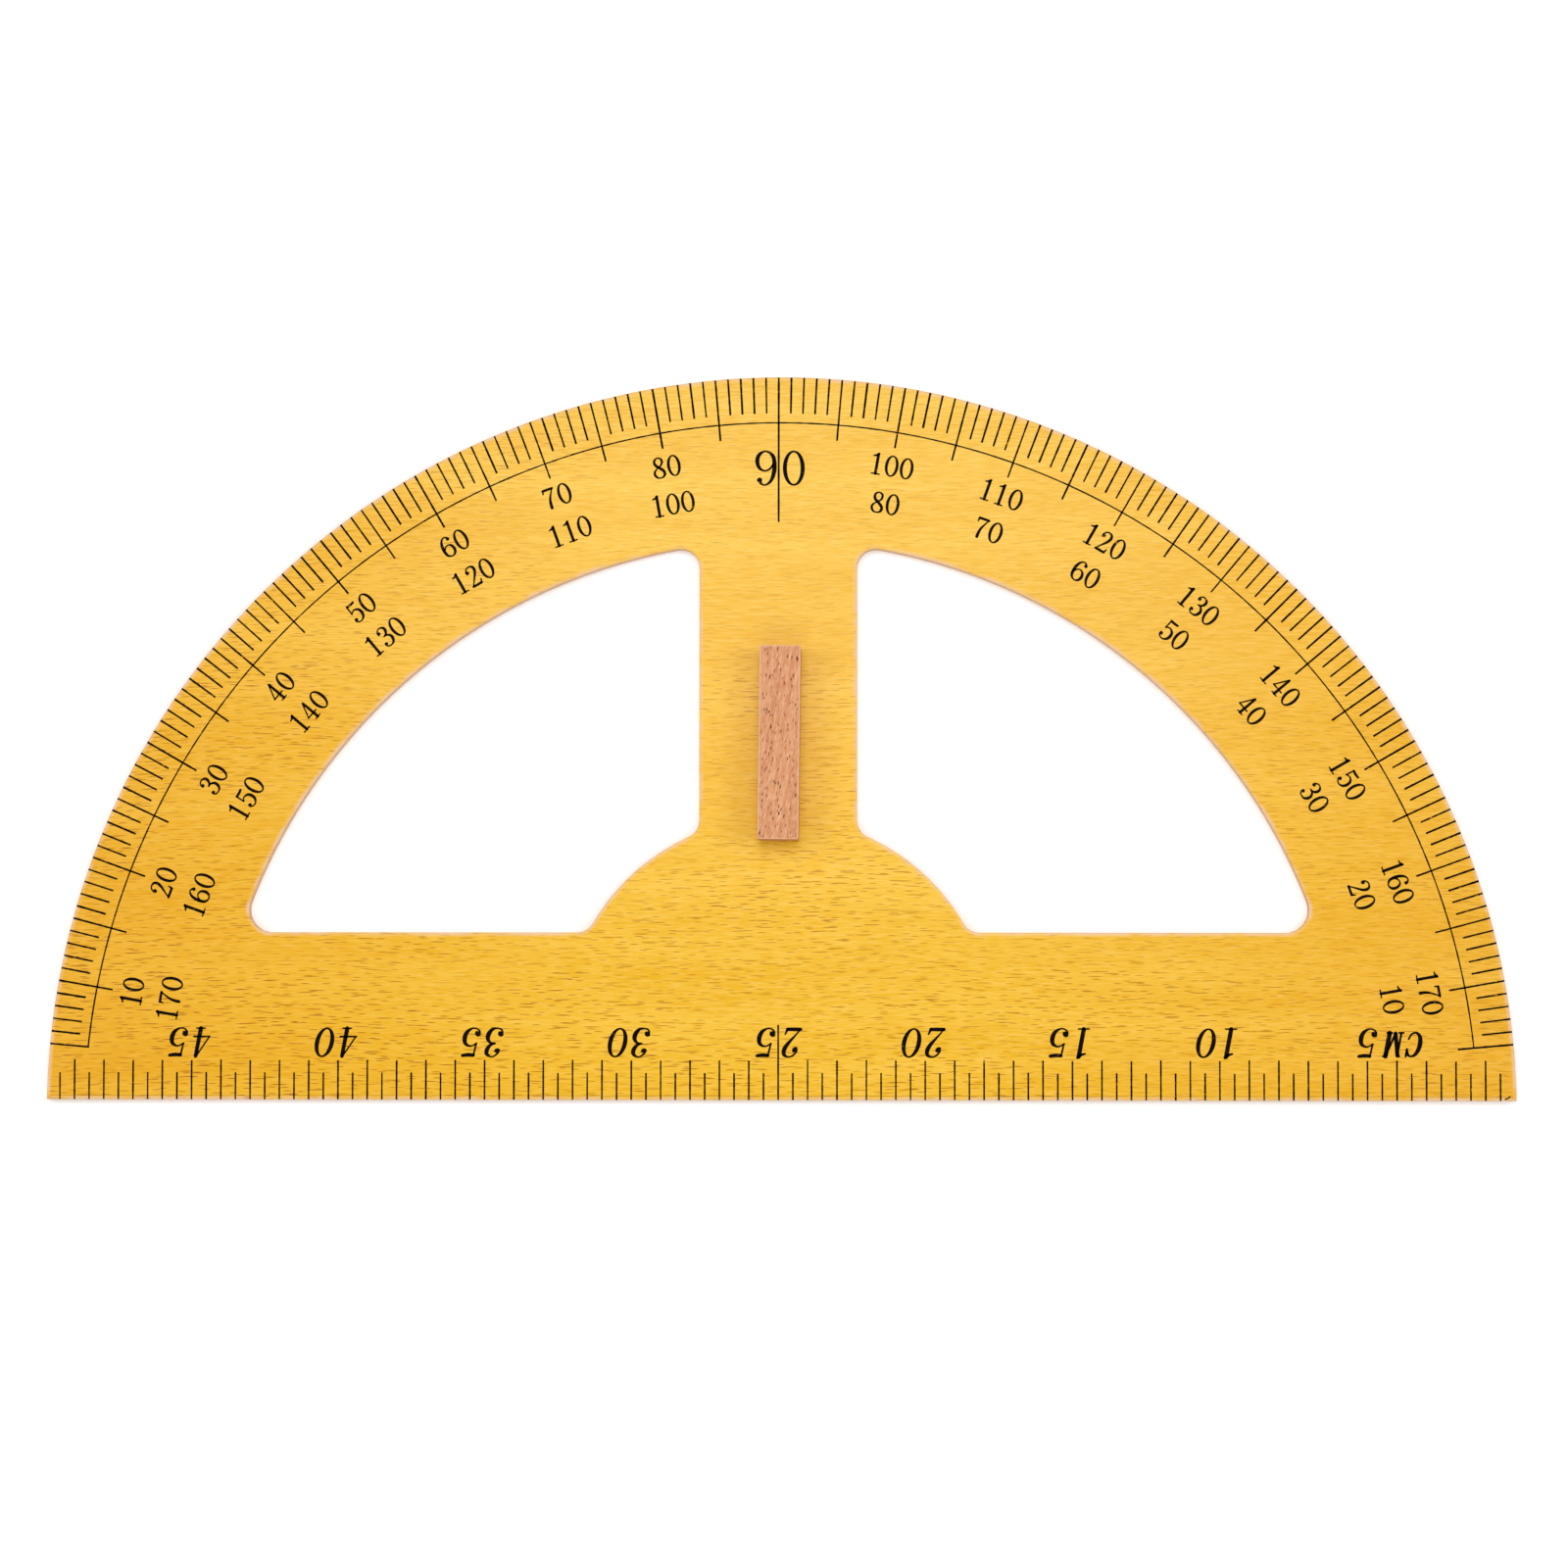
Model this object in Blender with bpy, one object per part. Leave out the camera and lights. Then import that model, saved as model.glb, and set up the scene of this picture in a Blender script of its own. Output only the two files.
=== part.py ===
"""Wooden blackboard protractor, half a metre wide.

Three plies of beech are glued into one board and cut through with two windows. A plain wooden
bar stands on the front as a handle, held by two countersunk screws from the back.

The board lies flat, front face up (+Z), its straight edge towards -Y. The origin is under the
middle of the board's bounding box, on the back face.
"""
import math

import bmesh
import bpy
from mathutils import Vector

# The board. Plan heights are measured up from the straight edge.
BOARD_RADIUS = 0.250
ARC_CENTRE_DROP = 0.0028        # the arc's centre lies this far below the straight edge
BOARD_THICKNESS = 0.006
BOARD_HEIGHT = BOARD_RADIUS - ARC_CENTRE_DROP

# The two windows, mirror images of each other about the middle of the spine
WINDOW_ARC_RADIUS = 0.193       # the arc that both windows share
WINDOW_ARC_DROP = 0.0018        # its centre lies this far below the straight edge
BASE_WIDTH = 0.057              # wood left along the straight edge
SPINE_SHIFT = -0.0006           # the spine and windows stand this far left of the arc's centre
SPINE_WIDTH = 0.0538            # wood left between the windows
HUB_RADIUS = 0.0734             # the round hump at the foot of the spine
HUB_CENTRE_HEIGHT = 0.0229
WINDOW_CORNER = 0.0065
OUTER_CORNER = 0.0078           # the corner where the arc meets the base is rounder

# The three plies and the clearance kept between pieces that touch
GAP = 0.0003
PLY_NAMES = ("back_veneer", "core_ply", "front_veneer")
PLY_THICKNESS = (BOARD_THICKNESS - GAP * (len(PLY_NAMES) - 1)) / len(PLY_NAMES)

# The handle bar, glued upright on the spine and leaning a touch off square
HANDLE_LENGTH = 0.0655
HANDLE_WIDTH = 0.0138
HANDLE_HEIGHT = 0.018
HANDLE_CENTRE = Vector((0.0, 0.121))
HANDLE_LEAN = math.radians(-0.65)
HANDLE_ROUNDING = 0.0008

# The screws, driven from the back through the board into the handle
SCREW_SPACING = 0.042
SCREW_LENGTH = 0.016
SCREW_RADIUS = 0.00175
SCREW_POINT = 0.0025
HEAD_RADIUS = 0.0035
HEAD_RIM = 0.0003
HEAD_SINK = 0.0003              # the head's face lies this far inside the back face
RECESS_DEPTH = 0.0015
RECESS_LENGTH = 0.0036
RECESS_WIDTH = 0.0009

# How finely round shapes are divided
RIM_STEPS = 90
WINDOW_RIM_STEPS = 30
HUB_STEPS = 12
CORNER_STEPS = 5
SCREW_STEPS = 24

BOTTOM_UP = -BOARD_HEIGHT / 2   # world Y of the straight edge


def linear(hex_colour):
    """An sRGB colour such as 'f0b23c' as the linear RGBA that a shader takes."""
    channels = [int(hex_colour[i:i + 2], 16) / 255 for i in (0, 2, 4)]
    return [c / 12.92 if c <= 0.04045 else ((c + 0.055) / 1.055) ** 2.4 for c in channels] + [1.0]


def material(name, hex_colour, roughness, metallic=0.0):
    made = bpy.data.materials.new(name)
    made.use_nodes = True
    shader = made.node_tree.nodes["Principled BSDF"]
    shader.inputs["Base Color"].default_value = linear(hex_colour)
    shader.inputs["Roughness"].default_value = roughness
    shader.inputs["Metallic"].default_value = metallic
    return made


def add_object(name, shape, place, surface, turn=0.0):
    """Make a mesh object from a bmesh, put it in place and hang it on the assembly's empty."""
    mesh = bpy.data.meshes.new(name)
    bmesh.ops.recalc_face_normals(shape, faces=shape.faces)
    shape.to_mesh(mesh)
    shape.free()
    made = bpy.data.objects.new(name, mesh)
    made.location = place
    made.rotation_euler.z = turn
    made.parent = assembly
    if surface:
        mesh.materials.append(surface)
    bpy.context.scene.collection.objects.link(made)
    return made


def as_cutter(made):
    made.hide_render = True
    made.display_type = "WIRE"
    return made


def cut(target, cutter):
    boolean = target.modifiers.new("cut_" + cutter.name, "BOOLEAN")
    boolean.object = cutter
    boolean.operation = "DIFFERENCE"
    boolean.solver = "EXACT"


def arc(centre, radius, start, end, steps):
    """Points on a circle from one angle to another, both ends included."""
    angles = [start + (end - start) * i / steps for i in range(steps + 1)]
    return [centre + radius * Vector((math.cos(a), math.sin(a))) for a in angles]


def angle_of(direction):
    """A direction's angle, from 0 to a full turn."""
    return math.atan2(direction.y, direction.x) % math.tau


def board_outline():
    """A half disc whose straight side is cut a little above the centre of its arc."""
    dip = math.asin(ARC_CENTRE_DROP / BOARD_RADIUS)
    centre = Vector((0.0, -ARC_CENTRE_DROP))
    return arc(centre, BOARD_RADIUS, dip, math.pi - dip, RIM_STEPS)


def window_outline():
    """The right-hand window: spine, arc, base bar and hub, with a round in each corner.

    A corner's round has its centre one corner radius away from both sides that it joins.
    """
    r = WINDOW_CORNER
    outer_r = OUTER_CORNER
    rim_centre = Vector((0.0, -WINDOW_ARC_DROP))
    rim_radius = WINDOW_ARC_RADIUS
    hub_centre = Vector((0.0, HUB_CENTRE_HEIGHT))
    beside_spine = SPINE_WIDTH / 2 + r
    above_base = BASE_WIDTH + r

    def height_on(centre, radius, x):
        return centre.y + math.sqrt(radius ** 2 - x ** 2)

    def width_on(centre, radius, y):
        return math.sqrt(radius ** 2 - (y - centre.y) ** 2)

    top = Vector((beside_spine, height_on(rim_centre, rim_radius - r, beside_spine)))
    outer_height = BASE_WIDTH + outer_r
    outer = Vector((width_on(rim_centre, rim_radius - outer_r, outer_height), outer_height))
    foot = Vector((width_on(hub_centre, HUB_RADIUS + r, above_base), above_base))
    waist = Vector((beside_spine, height_on(hub_centre, HUB_RADIUS + r, beside_spine)))

    left, down = math.pi, math.pi * 1.5
    outer_side = angle_of(outer - rim_centre)
    top_side = angle_of(top - rim_centre)
    waist_side = angle_of(hub_centre - waist)
    foot_side = angle_of(hub_centre - foot)
    points = arc(outer, outer_r, down - math.tau, outer_side, CORNER_STEPS * 2)
    points += arc(rim_centre, rim_radius, outer_side, top_side, WINDOW_RIM_STEPS)[1:-1]
    points += arc(top, r, top_side, left, CORNER_STEPS * 2)
    points += arc(waist, r, left, waist_side, CORNER_STEPS)
    points += arc(hub_centre, HUB_RADIUS, waist_side - math.pi, foot_side - math.pi, HUB_STEPS)[1:-1]
    points += arc(foot, r, foot_side, down, CORNER_STEPS)
    return points


def prism(outline, bottom, top):
    """A flat outline given thickness along Z."""
    shape = bmesh.new()
    corners = [shape.verts.new((p.x, p.y, bottom)) for p in outline]
    face = shape.faces.new(corners)
    raised = bmesh.ops.extrude_face_region(shape, geom=[face])
    lifted = [v for v in raised["geom"] if isinstance(v, bmesh.types.BMVert)]
    bmesh.ops.translate(shape, verts=lifted, vec=(0.0, 0.0, top - bottom))
    return shape


def turned(profile):
    """A solid of revolution about Z. The profile's first and last points are on the axis."""
    shape = bmesh.new()
    points = [shape.verts.new((radius, 0.0, height)) for radius, height in profile]
    edges = [shape.edges.new(pair) for pair in zip(points, points[1:])]
    bmesh.ops.spin(shape, geom=points + edges, cent=(0, 0, 0), axis=(0, 0, 1),
                   angle=math.tau, steps=SCREW_STEPS, use_duplicate=False)
    bmesh.ops.remove_doubles(shape, verts=shape.verts, dist=1e-6)
    return shape


def screw_profile(clearance):
    """Half the screw's outline from its head up to its point, grown by a clearance."""
    head = HEAD_RADIUS + clearance
    shank = SCREW_RADIUS + clearance
    rim_top = HEAD_SINK + HEAD_RIM + clearance
    tip = HEAD_SINK + SCREW_LENGTH + clearance
    base = HEAD_SINK if clearance == 0 else -HEAD_SINK
    return [(0.0, base), (head, base), (head, rim_top), (shank, rim_top + head - shank),
            (shank, tip - SCREW_POINT), (0.0, tip)]


def make_ply(name, level, surface, windows):
    """One ply: the board's outline, one ply thick, with both windows cut through it."""
    bottom = level * (PLY_THICKNESS + GAP)
    ply = add_object(name, prism(board_outline(), 0.0, PLY_THICKNESS),
                     (0.0, BOTTOM_UP, bottom), surface)
    for window in windows:
        cut(ply, window)
    return ply


def make_windows():
    """Cutters for the two windows, each standing through the whole board."""
    windows = []
    for name, side in (("left_window", -1), ("right_window", 1)):
        outline = [Vector((p.x * side + SPINE_SHIFT, p.y)) for p in window_outline()]
        solid = prism(outline, -BOARD_THICKNESS, BOARD_THICKNESS * 2)
        windows.append(as_cutter(add_object(name, solid, (0.0, BOTTOM_UP, 0.0), None)))
    return windows


def make_handle(surface):
    """The handle bar, standing on the front veneer with its long edges and ends eased."""
    bar = bmesh.new()
    bmesh.ops.create_cube(bar, size=1.0)
    bmesh.ops.scale(bar, vec=(HANDLE_WIDTH, HANDLE_LENGTH, HANDLE_HEIGHT), verts=bar.verts)
    place = (HANDLE_CENTRE.x, BOTTOM_UP + HANDLE_CENTRE.y,
             BOARD_THICKNESS + GAP + HANDLE_HEIGHT / 2)
    handle = add_object("handle", bar, place, surface, HANDLE_LEAN)
    eased = handle.modifiers.new("eased_edges", "BEVEL")
    eased.width = HANDLE_ROUNDING
    eased.segments = 3
    return handle


def screw_places():
    """Where the screws' axes cross the back face, along the leaning handle."""
    along = Vector((-math.sin(HANDLE_LEAN), math.cos(HANDLE_LEAN)))
    for name, side in (("lower_screw", -1), ("upper_screw", 1)):
        spot = HANDLE_CENTRE + along * SCREW_SPACING / 2 * side
        yield name, (spot.x, BOTTOM_UP + spot.y, 0.0)


def cross_recess():
    """A cutter for the cross in a screw's head: two bars that taper towards their bottom."""
    shape = bmesh.new()
    for length, width in ((RECESS_LENGTH, RECESS_WIDTH), (RECESS_WIDTH, RECESS_LENGTH)):
        bar = bmesh.ops.create_cube(shape, size=1.0)["verts"]
        bmesh.ops.scale(shape, vec=(length, width, RECESS_DEPTH * 2), verts=bar)
        deep_end = [v for v in bar if v.co.z > 0]
        bmesh.ops.scale(shape, vec=(0.5, 0.5, 1.0), verts=deep_end)
    return shape


def make_screw(name, place, surface):
    """A countersunk wood screw, point up, with a plain cross recess."""
    screw = add_object(name, turned(screw_profile(0.0)), place, surface)
    screw.data.shade_smooth()
    screw.data.set_sharp_from_angle(angle=math.radians(30))
    head_face = (place[0], place[1], place[2] + HEAD_SINK)
    cut(screw, as_cutter(add_object(name + "_recess", cross_recess(), head_face, None)))
    return screw


for old in list(bpy.data.objects):
    bpy.data.objects.remove(old, do_unlink=True)

assembly = bpy.data.objects.new("protractor", None)
bpy.context.scene.collection.objects.link(assembly)

yellow_lacquer = material("yellow_lacquered_beech", "f2b83c", 0.32)
raw_beech = material("raw_beech", "c99a70", 0.6)
screw_steel = material("zinc_plated_steel", "b9b7ae", 0.35, metallic=1.0)

windows = make_windows()
pierced = []
for level, name in enumerate(PLY_NAMES):
    surface = raw_beech if name == "core_ply" else yellow_lacquer
    pierced.append(make_ply(name, level, surface, windows))
pierced.append(make_handle(raw_beech))

for name, place in screw_places():
    make_screw(name, place, screw_steel)
    hole = as_cutter(add_object(name + "_hole", turned(screw_profile(GAP)), place, None))
    for piece in pierced:
        cut(piece, hole)
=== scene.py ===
import math

import bpy
import numpy as np
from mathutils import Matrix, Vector
from mathutils.geometry import tessellate_polygon


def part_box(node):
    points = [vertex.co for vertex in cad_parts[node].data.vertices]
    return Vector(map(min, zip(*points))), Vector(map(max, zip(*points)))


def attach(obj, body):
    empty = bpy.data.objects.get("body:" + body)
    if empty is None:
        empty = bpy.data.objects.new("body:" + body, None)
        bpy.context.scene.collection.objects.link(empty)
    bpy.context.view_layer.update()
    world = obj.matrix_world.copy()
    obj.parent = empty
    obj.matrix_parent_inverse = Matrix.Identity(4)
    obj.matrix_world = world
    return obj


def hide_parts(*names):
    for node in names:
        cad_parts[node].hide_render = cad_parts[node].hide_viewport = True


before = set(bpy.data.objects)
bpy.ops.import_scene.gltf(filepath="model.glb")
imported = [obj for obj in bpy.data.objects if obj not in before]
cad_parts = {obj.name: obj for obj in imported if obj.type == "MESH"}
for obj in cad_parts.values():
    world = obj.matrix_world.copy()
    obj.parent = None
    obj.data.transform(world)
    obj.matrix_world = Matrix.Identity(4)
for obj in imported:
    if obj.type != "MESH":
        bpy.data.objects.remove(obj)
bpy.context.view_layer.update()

# ---------------------------------------------------------------------------------------------
# Front veneer. A rotary-cut sheet of beech, the board's show face: yellow lacquer on top, bare
# wood where the saw has cut the rim and the two windows, and the arris rubbed down by hand.
# ---------------------------------------------------------------------------------------------
MM = 0.001
veneer_low, veneer_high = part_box("front_veneer")
core_low, core_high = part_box("core_ply")
FACE = veneer_high.z                        # height of the printed face
EDGE = veneer_low.y                         # the straight edge
RISE = veneer_high.y - veneer_low.y
# A circle cut by a chord: half the chord squared is the rise times (radius + drop)
BOARD_RADIUS = (RISE + veneer_high.x ** 2 / RISE) / 2
ARC_CENTRE = np.array((0.0, EDGE - (BOARD_RADIUS - RISE)))

WINDOW_ARC_RADIUS = 193 * MM                # the arc that both windows share
WINDOW_ARC_CENTRE = np.array((0.0, EDGE - 1.8 * MM))
BASE_WIDTH = 57 * MM                        # wood left along the straight edge
SPINE_WIDTH = 53.8 * MM
SPINE_SHIFT = -0.6 * MM                     # the spine and windows sit left of the arc's centre
HUB_RADIUS = 73.4 * MM
HUB_CENTRE = np.array((0.0, EDGE + 22.9 * MM))
WINDOW_CORNER = 6.5 * MM
OUTER_CORNER = 7.8 * MM
ARRIS = 0.4 * MM                            # radius of the rubbed-down edge
RUBBED_BAND = 1.5 * MM                      # how far in from the arris the lacquer has thinned
GLUE = 0.12 * MM                            # a glue line's thickness
UPPER_JOINT = (core_high.z + veneer_low.z) / 2
RIM_STEPS = 540                             # straight spans in each curve of the outlines
WINDOW_ARC_STEPS = 150
HUB_STEPS = 60
SHARP_CORNER_STEPS = 24
BLUNT_CORNER_STEPS = 16
SCREW_HOLE_STEPS = 48
SHANK_HOLE = 1.9 * MM                       # radius of a hole for a screw's shank
CREASE = 30                                 # edges turning by more degrees than this look sharp


def arc(centre, radius, start, end, steps):
    """Points round a circle at equal angles: centre + radius * (cos a, sin a)."""
    a = np.linspace(start, end, steps + 1)
    return np.c_[centre[0] + radius * np.cos(a), centre[1] + radius * np.sin(a)]


def bearing(v):
    """The angle of a direction, from 0 to a full turn."""
    return math.atan2(v[1], v[0]) % math.tau


def board_loop():
    """The rim: a circle cut by the straight edge a little above its centre."""
    dip = math.asin((EDGE - ARC_CENTRE[1]) / BOARD_RADIUS)
    return arc(ARC_CENTRE, BOARD_RADIUS, dip, math.pi - dip, RIM_STEPS)


def window_loop(side):
    """One window. Each corner's round is centred one corner radius off both sides it joins."""
    r, rim, inner = WINDOW_CORNER, WINDOW_ARC_CENTRE, WINDOW_ARC_RADIUS
    x, y = SPINE_WIDTH / 2 + r, EDGE + BASE_WIDTH + r
    top = np.array((x, rim[1] + math.sqrt((inner - r) ** 2 - x ** 2)))
    outer_y = EDGE + BASE_WIDTH + OUTER_CORNER
    outer = np.array((math.sqrt((inner - OUTER_CORNER) ** 2 - (outer_y - rim[1]) ** 2), outer_y))
    foot = np.array((math.sqrt((HUB_RADIUS + r) ** 2 - (y - HUB_CENTRE[1]) ** 2), y))
    waist = np.array((x, HUB_CENTRE[1] + math.sqrt((HUB_RADIUS + r) ** 2 - x ** 2)))
    at_outer, at_top = bearing(outer - rim), bearing(top - rim)
    at_waist, at_foot = bearing(HUB_CENTRE - waist), bearing(HUB_CENTRE - foot)
    loop = np.concatenate([
        arc(outer, OUTER_CORNER, -math.pi / 2, at_outer, SHARP_CORNER_STEPS),
        arc(rim, inner, at_outer, at_top, WINDOW_ARC_STEPS)[1:-1],
        arc(top, r, at_top, math.pi, SHARP_CORNER_STEPS),
        arc(waist, r, math.pi, at_waist, BLUNT_CORNER_STEPS),
        arc(HUB_CENTRE, HUB_RADIUS, at_waist - math.pi, at_foot - math.pi, HUB_STEPS)[1:-1],
        arc(foot, r, at_foot, 1.5 * math.pi, BLUNT_CORNER_STEPS),
    ])
    # The wood lies to the left of the way round: clockwise on the right, mirrored on the left
    return (loop[::-1] if side > 0 else loop * (-1, 1)) + (SPINE_SHIFT, 0)


def screw_hole_loops(radius):
    """Round holes under the handle for its two screws, clockwise like the windows."""
    loops = []
    for name in ("lower_screw", "upper_screw"):
        low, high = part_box(name)
        loops.append(arc((low + high) / 2, radius, 0, -math.tau, SCREW_HOLE_STEPS)[:-1])
    return loops


BOARD_LOOPS = [board_loop(), window_loop(1), window_loop(-1)]
PLY_LOOPS = BOARD_LOOPS + screw_hole_loops(SHANK_HOLE)


def inset_loop(loop, depth):
    """The loop moved into the wood: each point goes along its mitre, (n1 + n2) / (1 + n1.n2)."""
    ahead = np.roll(loop, -1, 0) - loop
    ahead /= np.linalg.norm(ahead, axis=1, keepdims=True)
    after = np.c_[ahead[:, 1], -ahead[:, 0]]
    before = np.roll(after, 1, 0)
    mitre = (before + after) / (1 + (before * after).sum(1, keepdims=True))
    return loop - depth * mitre


def flat_fill(loops, upward):
    """Triangles over a flat outline with holes, as rows of point numbers, all facing one way."""
    points = np.concatenate(loops)
    flat = [np.c_[loop, np.zeros(len(loop))].tolist() for loop in loops]
    tris = np.array(tessellate_polygon(flat))
    a, b, c = (points[tris[:, i]] for i in range(3))
    twice_area = np.cross(b - a, c - a)
    turned = (twice_area > 0) != upward
    tris[turned] = tris[turned][:, ::-1]
    return tris


def new_piece(name, points, faces, smooth, materials):
    """A mesh object from whole arrays: points (n, 3), lists of faces, one smooth flag a face."""
    mesh = bpy.data.meshes.new(name)
    mesh.from_pydata(points.tolist(), [], faces)
    mesh.polygons.foreach_set("use_smooth", smooth)
    mesh.update()
    mesh.set_sharp_from_angle(angle=math.radians(CREASE))
    for surface in materials:
        mesh.materials.append(surface)
    piece = bpy.data.objects.new(name, mesh)
    bpy.context.scene.collection.objects.link(piece)
    return piece


def moulded_plate(name, loops, profile, materials):
    """A plate whose edge profile is carried round every outline.

    point(s, t) = loop(s) - inset(t) * normal(s), at height(t), for profile rows (inset, height,
    surface, wear and highlight) from the underside up. The last value marks rubbed lacquer on the
    board and a painted highlight along the handle's rounded edges. A wall takes the higher surface
    number of its two rows. The two ends of the profile are closed with flat fills.
    """
    sizes = [len(loop) for loop in loops]
    starts = np.cumsum([0] + sizes[:-1])
    ring = sum(sizes)
    points = np.concatenate([
        np.c_[np.concatenate([inset_loop(loop, inset) for loop in loops]), np.full(ring, height)]
        for inset, height, surface, row_wear_and_highlight in profile])
    faces, surfaces = [], []
    for level in range(len(profile) - 1):
        for start, size in zip(starts, sizes):
            here = level * ring + start + np.arange(size)
            ahead = start + level * ring + (np.arange(size) + 1) % size
            faces += np.c_[here, ahead, ahead + ring, here + ring].tolist()
            surfaces += [max(profile[level][2], profile[level + 1][2])] * size
    walls = len(faces)
    last = ring * (len(profile) - 1)
    under = flat_fill([points[s:s + n, :2] for s, n in zip(starts, sizes)], False)
    over = flat_fill([points[last + s:last + s + n, :2] for s, n in zip(starts, sizes)], True)
    faces += under.tolist() + (over + last).tolist()
    surfaces += [profile[0][2]] * len(under) + [profile[-1][2]] * len(over)
    smooth = [True] * walls + [False] * (len(under) + len(over))
    piece = new_piece(name, points, faces, smooth, materials)
    piece.data.polygons.foreach_set("material_index", surfaces)
    # The last profile value per point: rubbed lacquer on the board, painted highlight on the
    # handle.
    wear_plus_highlight = piece.data.attributes.new("wear_plus_highlight", "FLOAT", "POINT")
    wear_plus_highlight.data.foreach_set("value", np.repeat([row[3] for row in profile], ring).astype(np.float32))
    return piece


def linear(hex_colour):
    """An sRGB hex colour as the linear RGBA a shader takes."""
    c = np.array([int(hex_colour[i:i + 2], 16) / 255 for i in (0, 2, 4)])
    return (*np.where(c <= 0.04045, c / 12.92, ((c + 0.055) / 1.055) ** 2.4), 1.0)


def add_node(tree, kind, inputs, out=0, **settings):
    """Add a shader node, give its inputs values or links, and hand back one of its outputs."""
    made = tree.nodes.new("ShaderNode" + kind)
    for name, value in settings.items():
        setattr(made, name, value)
    for name, value in inputs.items():
        if isinstance(value, bpy.types.NodeSocket):
            tree.links.new(value, made.inputs[name])
        else:
            made.inputs[name].default_value = value
    return made.outputs[out]


def new_material(name):
    made = bpy.data.materials.new(name)
    made.use_nodes = True
    tree = made.node_tree
    return made, tree, tree.nodes["Principled BSDF"]


def grain_space(tree, along, across, shift=(0, 0, 0), turn=(0, 0, 0)):
    """Object coordinates counted in grain sizes: along the grain and across it, in mm.

    The grain runs along X until it is turned, and sways a few millimetres to either side.
    """
    place = add_node(tree, "TexCoord", {}, "Object")
    sway = add_node(tree, "TexNoise", {"Vector": place, "Scale": 11.0, "Detail": 1.0}, "Color")
    bent = add_node(tree, "VectorMath", {0: sway, 1: (4 * MM,) * 3, 2: place},
                    operation="MULTIPLY_ADD")
    scale = (along * MM, across * MM, across * MM)
    return add_node(tree, "Mapping", {"Vector": bent, "Location": shift, "Rotation": turn,
                                      "Scale": scale}, vector_type="TEXTURE")


def flecks(tree, cell, size, shift=(0, 0, 0), turn=(0, 0, 0), dimensions="2D"):
    """Short dashes along the grain, one to a cell: 1 at a dash's heart and 0 outside it.

    cell and size are the (along, across) millimetres of a cell and of the dash in it. In 2D the
    dashes are drawn on a flat face, and in 3D they are pores through the wood, cut by any face.
    """
    space = grain_space(tree, *cell, shift, turn)
    hearts = add_node(tree, "TexVoronoi", {"Vector": space, "Scale": 1.0}, "Position",
                      voronoi_dimensions=dimensions)
    off = add_node(tree, "VectorMath", {0: space, 1: hearts}, operation="SUBTRACT")
    along, across = 2 * cell[0] / size[0], 2 * cell[1] / size[1]
    stretch = (along, across, across if dimensions == "3D" else 0)
    off = add_node(tree, "VectorMath", {0: off, 1: stretch}, operation="MULTIPLY")
    reach = add_node(tree, "VectorMath", {0: off}, "Value", operation="LENGTH")
    return add_node(tree, "MapRange", {"Value": reach, "From Min": 0.6, "To Min": 1.0,
                                       "To Max": 0.0})


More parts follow.
